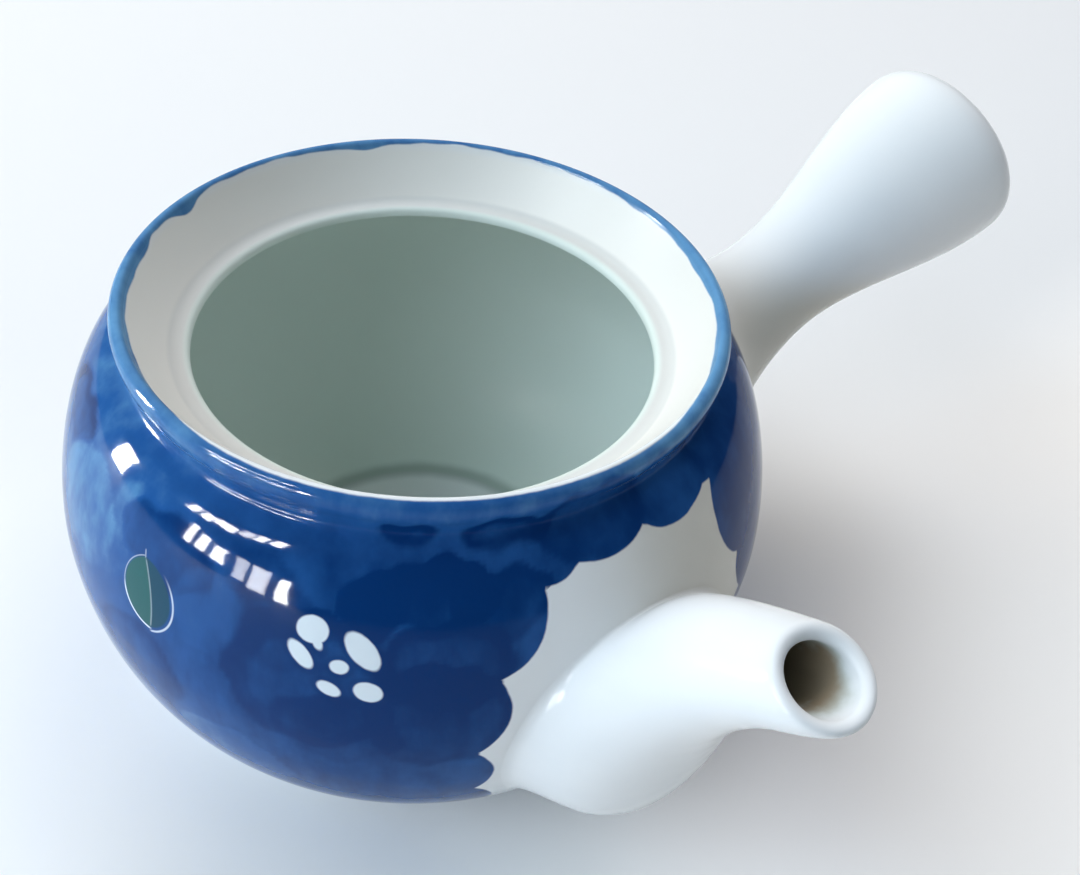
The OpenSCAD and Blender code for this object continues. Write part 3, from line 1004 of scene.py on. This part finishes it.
@dataclass(frozen=True)
class Porcelain:
    """A glazed white porcelain with a few iron specks.

    Attributes:
        white: Colour of the glaze.
        cool: Colour where the glaze lies thicker.
        speck: Colour of the iron specks.
        bore: Colour of the glaze in a bore.
        stain: Colour that tea leaves there.
        dusk: Colour of the painted shade, a duller and warmer white round the roots of spout and handle.
        rough: Roughness of the glaze over the painting.
        rough_white: Roughness of the glaze on the spout and handle.
        rough_in: Roughness of the glaze inside.
        shine: Strength of reflections in the painted glaze.
        shine_white: Strength of reflections in the white glaze.
        ripple: Depth of the ripple in the glaze, in metres.
        tea: Colour of the tea's film on the strainer.
    """

    white: Colour = (0.79, 0.81, 0.82)
    cool: Colour = (0.74, 0.775, 0.80)
    speck: Colour = (0.05, 0.035, 0.025)
    bore: Colour = (0.58, 0.64, 0.61)
    stain: Colour = (0.30, 0.19, 0.09)
    dusk: Colour = (0.605, 0.585, 0.52)
    rough: float = 0.06
    rough_white: float = 0.13
    rough_in: float = 0.42
    shine: float = 0.07
    shine_white: float = 0.035
    ripple: float = 0.00008
    tea: Colour = (0.42, 0.36, 0.26)

    def glaze(self, shade: Shade) -> Socket:
        """Makes the white glaze's colour.

        Args:
            shade: The material.

        Returns:
            The colour.
        """
        cloud = shade.noise(28, 3).step(-0.5, 0.6)
        # mixes in the painted shade, a duller and warmer white by the roots of spout and handle
        colour = shade.mix(shade.field("dusk"), shade.mix(cloud, self.white, self.cool), self.dusk)
        return shade.mix(shade.specks(0.013, 0.00022, 0.09) * 0.8, colour, self.speck)

    def surface(self, shade: Shade, colour: Socket, gloss: float, shine: float) -> bpy.types.Material:
        """Ends a glazed material, with a slow ripple and fine pitting in the glaze.

        Args:
            shade: The material.
            colour: The colour under the glaze.
            gloss: Roughness of the glaze outside.
            shine: Strength of reflections in it.

        Returns:
            The finished material.
        """
        ripple = shade.noise(70, 1, (1, 1, 2.2)) * 0.8 + shade.noise(420, 1) * 0.06
        past = shade.field("past")
        inner = past.step(0.3, 2.0)
        collar = past.step(-9.0, -7.0) * past.step(-0.8, -2.0)
        rough = gloss + inner * (self.rough_in - gloss) + collar * 0.05 + shade.noise(160, 2) * 0.02
        return shade.finish(
            {
                "Base Color": colour,
                "Roughness": rough,
                "IOR": 1.5,
                "Specular IOR Level": shine,
                "Normal": shade.bump(ripple, self.ripple),
            }
        )

    def plain(self, name: str) -> bpy.types.Material:
        """Makes the white porcelain of the spout and handle, stained past the spout's lip."""
        shade = Shade(name)
        past = shade.field("past") + shade.noise(240, 3) * 1.5
        bore = shade.mix(past.step(1.8, 4.2), self.glaze(shade), self.bore)
        side = shade.field("stain") + shade.noise(400, 3) * 0.3
        stain = past.step(2.5, 5.5) * side.step(0.35, 0.9)
        colour = shade.mix(stain * 0.8, bore, self.stain)
        return self.surface(shade, colour, self.rough_white, self.shine_white)

    def sieve(self, name: str) -> bpy.types.Material:
        """Makes the strainer's porcelain, lightly stained by tea."""
        shade = Shade(name)
        film = shade.noise(300, 3).step(-0.2, 0.9) * 0.35
        colour = shade.mix(film, self.glaze(shade), self.tea)
        return self.surface(shade, colour, self.rough_in, self.shine)


@dataclass(frozen=True)
class Painted:
    """Porcelain with a cobalt wash outside and a celadon glaze inside."""

    base: Porcelain
    painting: Painting
    skin: Skin
    thin: Colour = (0.12, 0.295, 0.51)
    full: Colour = (0.016, 0.087, 0.28)
    deep: Colour = (0.002, 0.03, 0.135)
    green: Colour = (0.024, 0.11, 0.115)
    teal: Colour = (0.012, 0.065, 0.11)
    bare: Colour = (0.74, 0.82, 0.88)
    pool: Colour = (0.24, 0.31, 0.28)
    # painted shade: grey for the crease at the foot of the gallery
    crease_shade: Colour = (0.60, 0.615, 0.60)
    crease_r: float = 0.0284
    celadon: Colour = (0.69, 0.77, 0.725)
    cream: Colour = (0.80, 0.79, 0.75)
    ground: float = 0.62

    def wash(self, shade: Shade) -> Socket:
        """Makes the colour of the wash from the dabs, clouds and brush streaks.

        Args:
            shade: The material.

        Returns:
            The colour.
        """
        cloud = shade.noise(45, 3) * 0.2 + shade.noise(160, 3) * 0.18
        streak = shade.noise(260, 3, (1.0, 1.0, 0.3)) * 0.2
        tone = shade.field("wash") + cloud + streak + self.ground
        pale = shade.mix(tone.step(0.0, 0.55), self.thin, self.full)
        return shade.mix(tone.step(0.45, 1.05), pale, self.deep)

    def local(self, shade: Shade, dab: Dab) -> tuple[Socket, Socket]:
        """Gives the distances across and along a dab's own axes, in millimetres.

        Args:
            shade: The material.
            dab: The dab.

        Returns:
            Two sockets.
        """
        run_0, radius_0 = self.skin.lookup(dab.z)
        across = (shade.field("turn") - dab.turn) * (math.radians(1) * float(radius_0))
        along = shade.field("run") - float(run_0)
        c, s = cos_sin(dab.lean)
        return across * c + along * s, along * c - across * s

    def petal(self, shade: Shade, dab: Dab) -> Socket:
        """Gives how far a point is inside a petal's oval, in millimetres."""
        across, along = self.local(shade, dab)
        ratio = (across * (1 / dab.wide)).hypot(along * (1 / dab.tall))
        return (1.0 - ratio) * min(dab.wide, dab.tall)

    def leaf(self, shade: Shade, ground: Socket) -> Socket:
        """Paints the leaf: two arcs that meet in points, a curved midrib and white lines beside the edge.

        Args:
            shade: The material.
            ground: The colour round it.

        Returns:
            The colour with the leaf.
        """
        shape = self.painting.leaf
        across, along = self.local(shade, shape)
        disc = (shape.wide**2 + shape.tall**2) / (2 * shape.wide)
        inside = disc - (across.absolute() + (disc - shape.wide)).hypot(along)
        bow = 1.0 - along * along * (1 / shape.tall**2)
        rib = across - bow * 0.9
        tint = shade.mix(rib.step(-0.3, 0.3), self.green, self.teal)
        flesh = shade.mix(inside.step(-0.1, 0.3), ground, tint)
        reach = along.absolute().step(shape.tall, shape.tall * 0.85)
        vein = (1.0 - rib.absolute().step(0.05, 0.22)) * reach * 0.28
        left = across.step(0.4, -0.4)
        under = (1.0 - (inside + 0.1).absolute().step(0.05, 0.22)) * left * along.step(1.5, -1.5)
        brow = (1.0 - (inside + 0.1).absolute().step(0.02, 0.14)) * left * along.step(-1.0, 1.0) * 0.45
        beside = (1.0 - (inside + 0.5).absolute().step(0.05, 0.24)) * (1.0 - left) * along.step(4.2, 1.0)
        tip = (along - shape.tall - 0.4).absolute().step(0.8, 0.4)
        stem = (1.0 - across.absolute().step(0.05, 0.18)) * tip
        lines = vein.maximum(under).maximum(brow).maximum(beside * 0.75).maximum(stem * 0.4)
        return shade.mix(lines, flesh, self.bare)

    def inside(self, shade: Shade, white: Socket) -> Socket:
        """Makes the colours past the lip: cream seat with a grey band of painted shade in the crease at the
        gallery's foot, then celadon, darker in a ring at the crease round the floor and paler on the floor
        inside it.

        Args:
            shade: The material.
            white: The glaze outside.

        Returns:
            The colour.
        """
        past = shade.field("past")
        height = shade.node("ShaderNodeSeparateXYZ", {}, {0: shade.place}, "Z")
        seat = shade.mix(past.step(0.2, 2.5), white, self.cream)
        specks = shade.specks(0.016, 0.0004, 0.22) * past.step(1.0, 2.5)
        seat = shade.mix(specks, seat, self.base.speck)
        # painted shade: a grey band in the crease where the gallery meets the seat
        shaded_ledge = shade.mix(past.step(9.6, 10.6) * 0.7, seat, self.crease_shade)
        wall = shade.mix(past.step(12.0, 13.2), shaded_ledge, self.celadon)
        flat = height.step(0.012, 0.009)
        radius = shade.vector("LENGTH", shade.vector("MULTIPLY", shade.place, (1, 1, 0)), out="Value")
        off = (radius + shade.noise(160, 1) * 0.0004 - self.crease_r).absolute()
        deep = past.step(30.0, 31.0)
        # a darker ring at the crease round the floor, with the floor inside it paler
        pool = (1.0 - off.step(0.0003, 0.0032)) * flat * deep
        middle = radius.step(self.crease_r, self.crease_r - 0.001) * flat
        floor = shade.mix(middle * 0.9, wall, self.base.white)
        cellar = shade.mix(deep, wall, floor)
        return shade.mix(pool * 0.6, cellar, self.pool)

    def material(self, name: str) -> bpy.types.Material:
        """Makes the pot's material.

        Args:
            name: Name of the material.

        Returns:
            The finished material.
        """
        shade = Shade(name)
        wobble = shade.noise(500, 2) * 0.1
        porcelain = self.inside(shade, self.base.glaze(shade))
        blue = self.leaf(shade, self.wash(shade))
        petals = [self.petal(shade, petal) for petal in self.painting.petals]
        blossom = reduce(Socket.maximum, petals) + wobble
        blue = shade.mix(blossom.step(-0.9, -0.3) * 0.4, blue, self.deep)
        blue = shade.mix(blossom.step(-0.1, 0.22), blue, self.bare)
        colour = shade.mix((shade.field("blue") + wobble).step(-0.16, 0.2), porcelain, blue)
        return self.base.surface(shade, colour, self.base.rough, self.base.shine)


@dataclass(frozen=True)
class Lamp:
    """A rectangular lamp aimed at the pot.

    Attributes:
        name: Name of the lamp.
        turn: Direction it stands in, in degrees round the pot.
        height: Its angle above level, in degrees.
        away: Distance, in metres.
        wide: Width, in metres.
        tall: Height, in metres.
        watts: Power.
        tint: Colour.
        mirrored: Whether it only shows as a reflection in the glaze, or else only lights.
    """

    name: str
    turn: float
    height: float
    away: float
    wide: float
    tall: float
    watts: float
    tint: Colour = (1.0, 1.0, 1.0)
    mirrored: bool = False

    def build(self, aim: Vector) -> None:
        """Makes the lamp and turns it to the aim."""
        light = bpy.data.lights.new(self.name, "AREA")
        light.shape = "RECTANGLE"
        light.size, light.size_y = self.wide, self.tall
        light.energy = self.watts
        light.color = self.tint
        lamp = bpy.data.objects.new(self.name, light)
        flat, high = cos_sin(self.height)
        c, s = cos_sin(self.turn)
        out = Vector((flat * c, flat * s, high))
        lamp.location = aim + out * self.away
        lamp.rotation_euler = out.to_track_quat("Z", "Y").to_euler()
        lamp.visible_camera = False
        lamp.visible_diffuse = not self.mirrored
        lamp.visible_glossy = self.mirrored
        bpy.context.collection.objects.link(lamp)


@dataclass(frozen=True)
class Studio:
    """Camera, floor and light."""

    eye: Triple = (117.7, -80.06, 173.4)
    turn: float = 47.9
    pitch: float = 42.32
    roll: float = 7.33
    lens: float = 37.89
    floor_half: float = 2.0
    sky: Colour = (0.80, 0.95, 1.0)
    sky_level: float = 0.10
    far: Colour = (0.93, 0.95, 0.97)
    # painted shadow: near is the floor's darker colour close to the pot
    near: Colour = (0.79, 0.80, 0.81)
    open: Colour = (0.93, 0.93, 0.93)
    # painted light: left pales the floor to the front-left, and right pales and warms it in the pot's shadow
    # on the right
    left: Colour = (0.97, 0.975, 0.98)
    right: Colour = (0.96, 0.935, 0.905)
    front_way: Triple = (0.94, -0.34, 0)
    left_way: Triple = (-0.5, -0.87, 0)
    right_way: Triple = (0.98, 0.17, 0)
    box_away: float = 1.5
    box_side: float = 1.3
    boxes: tuple[tuple[str, float, float, float, Colour], ...] = (
        ("front", -95, 35, 15.7, (0.76, 0.87, 1.0)),
        ("window", -132, 38, 9.2, (0.62, 0.86, 1.0)),
        ("behind", -165, 40, 11.3, (1.0, 0.85, 0.68)),
        ("back", 115, 50, 12.0, (0.94, 0.92, 0.97)),
        ("fill", 42, 40, 1.5, (0.88, 0.95, 1.0)),
    )
    pane_away: float = 1.2
    pane_tint: Colour = (0.94, 0.97, 1.0)
    pane_glow: float = 680.0
    panes: tuple[tuple[float, float, float, float, float], ...] = (
        (-107, 27, 0.045, 0.17, 1.0),
        (-102.5, 28.5, 0.065, 0.15, 1.0),
        (-97, 31, 0.12, 0.13, 1.0),
        (-90.5, 34.5, 0.065, 0.14, 0.6),
        (-86, 36.5, 0.055, 0.15, 0.9),
        (-81, 39, 0.065, 0.16, 1.0),
        (-101.5, 10, 0.045, 0.28, 1.0),
        (-97, 9, 0.06, 0.22, 1.1),
        (-91.5, 8, 0.085, 0.2, 1.0),
        (-84, 6.5, 0.08, 0.3, 0.4),
        (-78, 5.5, 0.11, 0.34, 0.55),
        (-70.5, 4, 0.07, 0.32, 1.3),
        (-132, 8, 0.14, 0.4, 1.2),
    )

    def camera(self) -> None:
        """Sets the camera at the photograph's angle: turned, tipped down and rolled about its own axis."""
        data = bpy.data.cameras.new("camera")
        data.lens = self.lens
        data.sensor_width = 36.0
        data.sensor_fit = "HORIZONTAL"
        data.clip_start = 0.01
        camera = bpy.data.objects.new("camera", data)
        turn = Matrix.Rotation(math.radians(self.turn), 4, "Z")
        tip = Matrix.Rotation(math.radians(90 - self.pitch), 4, "X")
        roll = Matrix.Rotation(math.radians(self.roll), 4, "Z")
        camera.matrix_world = Matrix.Translation(Vector(self.eye) * MM) @ turn @ tip @ roll
        bpy.context.collection.objects.link(camera)
        bpy.context.scene.camera = camera

    def floor(self) -> None:
        """Lays a pale matt floor, paler away from the pot, that goes over into the white backdrop. Its colour
        holds painted shadow, darker near the pot, and painted light, paler to the front-left and paler and
        warmer on the right where the pot's shadow falls.
        """
        half = self.floor_half
        corners = [(-half, -half, 0), (half, -half, 0), (half, half, 0), (-half, half, 0)]
        mesh = bpy.data.meshes.new("floor")
        mesh.from_pydata(corners, [], [(0, 1, 2, 3)])
        shade = Shade("floor")
        away = shade.vector("LENGTH", shade.place, out="Value")
        ways = (self.front_way, self.left_way, self.right_way)
        front, left, right = (shade.vector("DOT_PRODUCT", shade.place, way, out="Value") for way in ways)
        # painted shadow and light: the floor is darker near the pot and paler further out
        pale = (away + shade.noise(6, 2) * 0.01).step(0.05, 0.12) * front.step(-0.1, 0.02)
        colour = shade.mix(pale, self.near, self.open)
        # painted light: paler to the front-left, and paler and warmer on the right in the pot's shadow
        colour = shade.mix(left.step(0.025, 0.065) * front.step(-0.06, 0.03), colour, self.left)
        colour = shade.mix(right.step(0.03, 0.08), colour, self.right)
        matt = {"Base Color": colour, "Roughness": 0.7, "Specular IOR Level": 0.2}
        seen = shade.node("ShaderNodeLightPath", {}, {}, "Is Camera Ray") * away.step(0.5, 1.2)
        plain = shade.node("ShaderNodeBsdfPrincipled", {}, matt)
        white = shade.node("ShaderNodeEmission", {}, {"Color": self.far, "Strength": 1.0})
        mesh.materials.append(shade.end(shade.node("ShaderNodeMixShader", {}, {0: seen, 1: plain, 2: white})))
        floor = bpy.data.objects.new("floor", mesh)
        bpy.context.collection.objects.link(floor)

    def lamps(self) -> list[Lamp]:
        """Lists the lamps: broad ones on the left and behind, a weak one on the right and window panes."""
        made = [
            Lamp(name, turn, height, self.box_away, self.box_side, self.box_side, watts, tint)
            for name, turn, height, watts, tint in self.boxes
        ]
        for i, (turn, height, wide, tall, glow) in enumerate(self.panes):
            watts = self.pane_glow * glow * wide * tall
            place = (turn, height, self.pane_away)
            made.append(Lamp(f"pane_{i}", *place, wide, tall, watts, self.pane_tint, True))
        return made

    def build(self) -> None:
        """Makes the whole studio."""
        self.camera()
        self.floor()
        for lamp in self.lamps():
            lamp.build(Vector((0, 0, 0.05)))
        world = bpy.data.worlds.new("studio")
        world.use_nodes = True
        tree = world.node_tree
        back = tree.nodes["Background"]
        blend = tree.nodes.new("ShaderNodeMix")
        blend.data_type = "RGBA"
        blend.inputs[6].default_value = (*(part * self.sky_level for part in self.sky), 1.0)
        blend.inputs[7].default_value = (*self.far, 1.0)
        tree.links.new(tree.nodes.new("ShaderNodeLightPath").outputs["Is Camera Ray"], blend.inputs[0])
        tree.links.new(blend.outputs[2], back.inputs["Color"])
        back.inputs["Strength"].default_value = 1.0
        scene = bpy.context.scene
        scene.world = world
        scene.view_settings.view_transform = "Standard"


def dress(piece: bpy.types.Object, material: bpy.types.Material, nodes: Sequence[str]) -> None:
    """Gives a piece its material and joins it to the frame.

    Args:
        piece: The piece.
        material: Its material.
        nodes: The CAD nodes that it stands for.
    """
    piece.data.materials.append(material)
    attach(piece, "root")
    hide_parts(*nodes)
    LOG.info("%s: %d faces for %s", piece.name, len(piece.data.polygons), ", ".join(nodes))


def main() -> None:
    """Builds the studio, the pot, its spout, handle and strainer."""
    logging.basicConfig(level=logging.INFO)
    Studio().build()
    pot = Pot()
    porcelain = Porcelain()
    white = porcelain.plain("white_porcelain_look")
    painting = Painting()
    thrown, skin = pot.build(painting)
    cobalt = Painted(porcelain, painting, skin).material("painted_porcelain_look")
    dress(thrown, cobalt, ["body"])
    dress(Spout(pot).build(), white, ["spout", "spout_slip"])
    dress(Handle(pot).build(), white, ["handle", "handle_slip"])
    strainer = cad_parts["strainer"]
    sieve = porcelain.sieve("strainer_porcelain_look")
    for place in strainer.material_slots:
        place.material = sieve


if __name__ == "__main__":
    main()
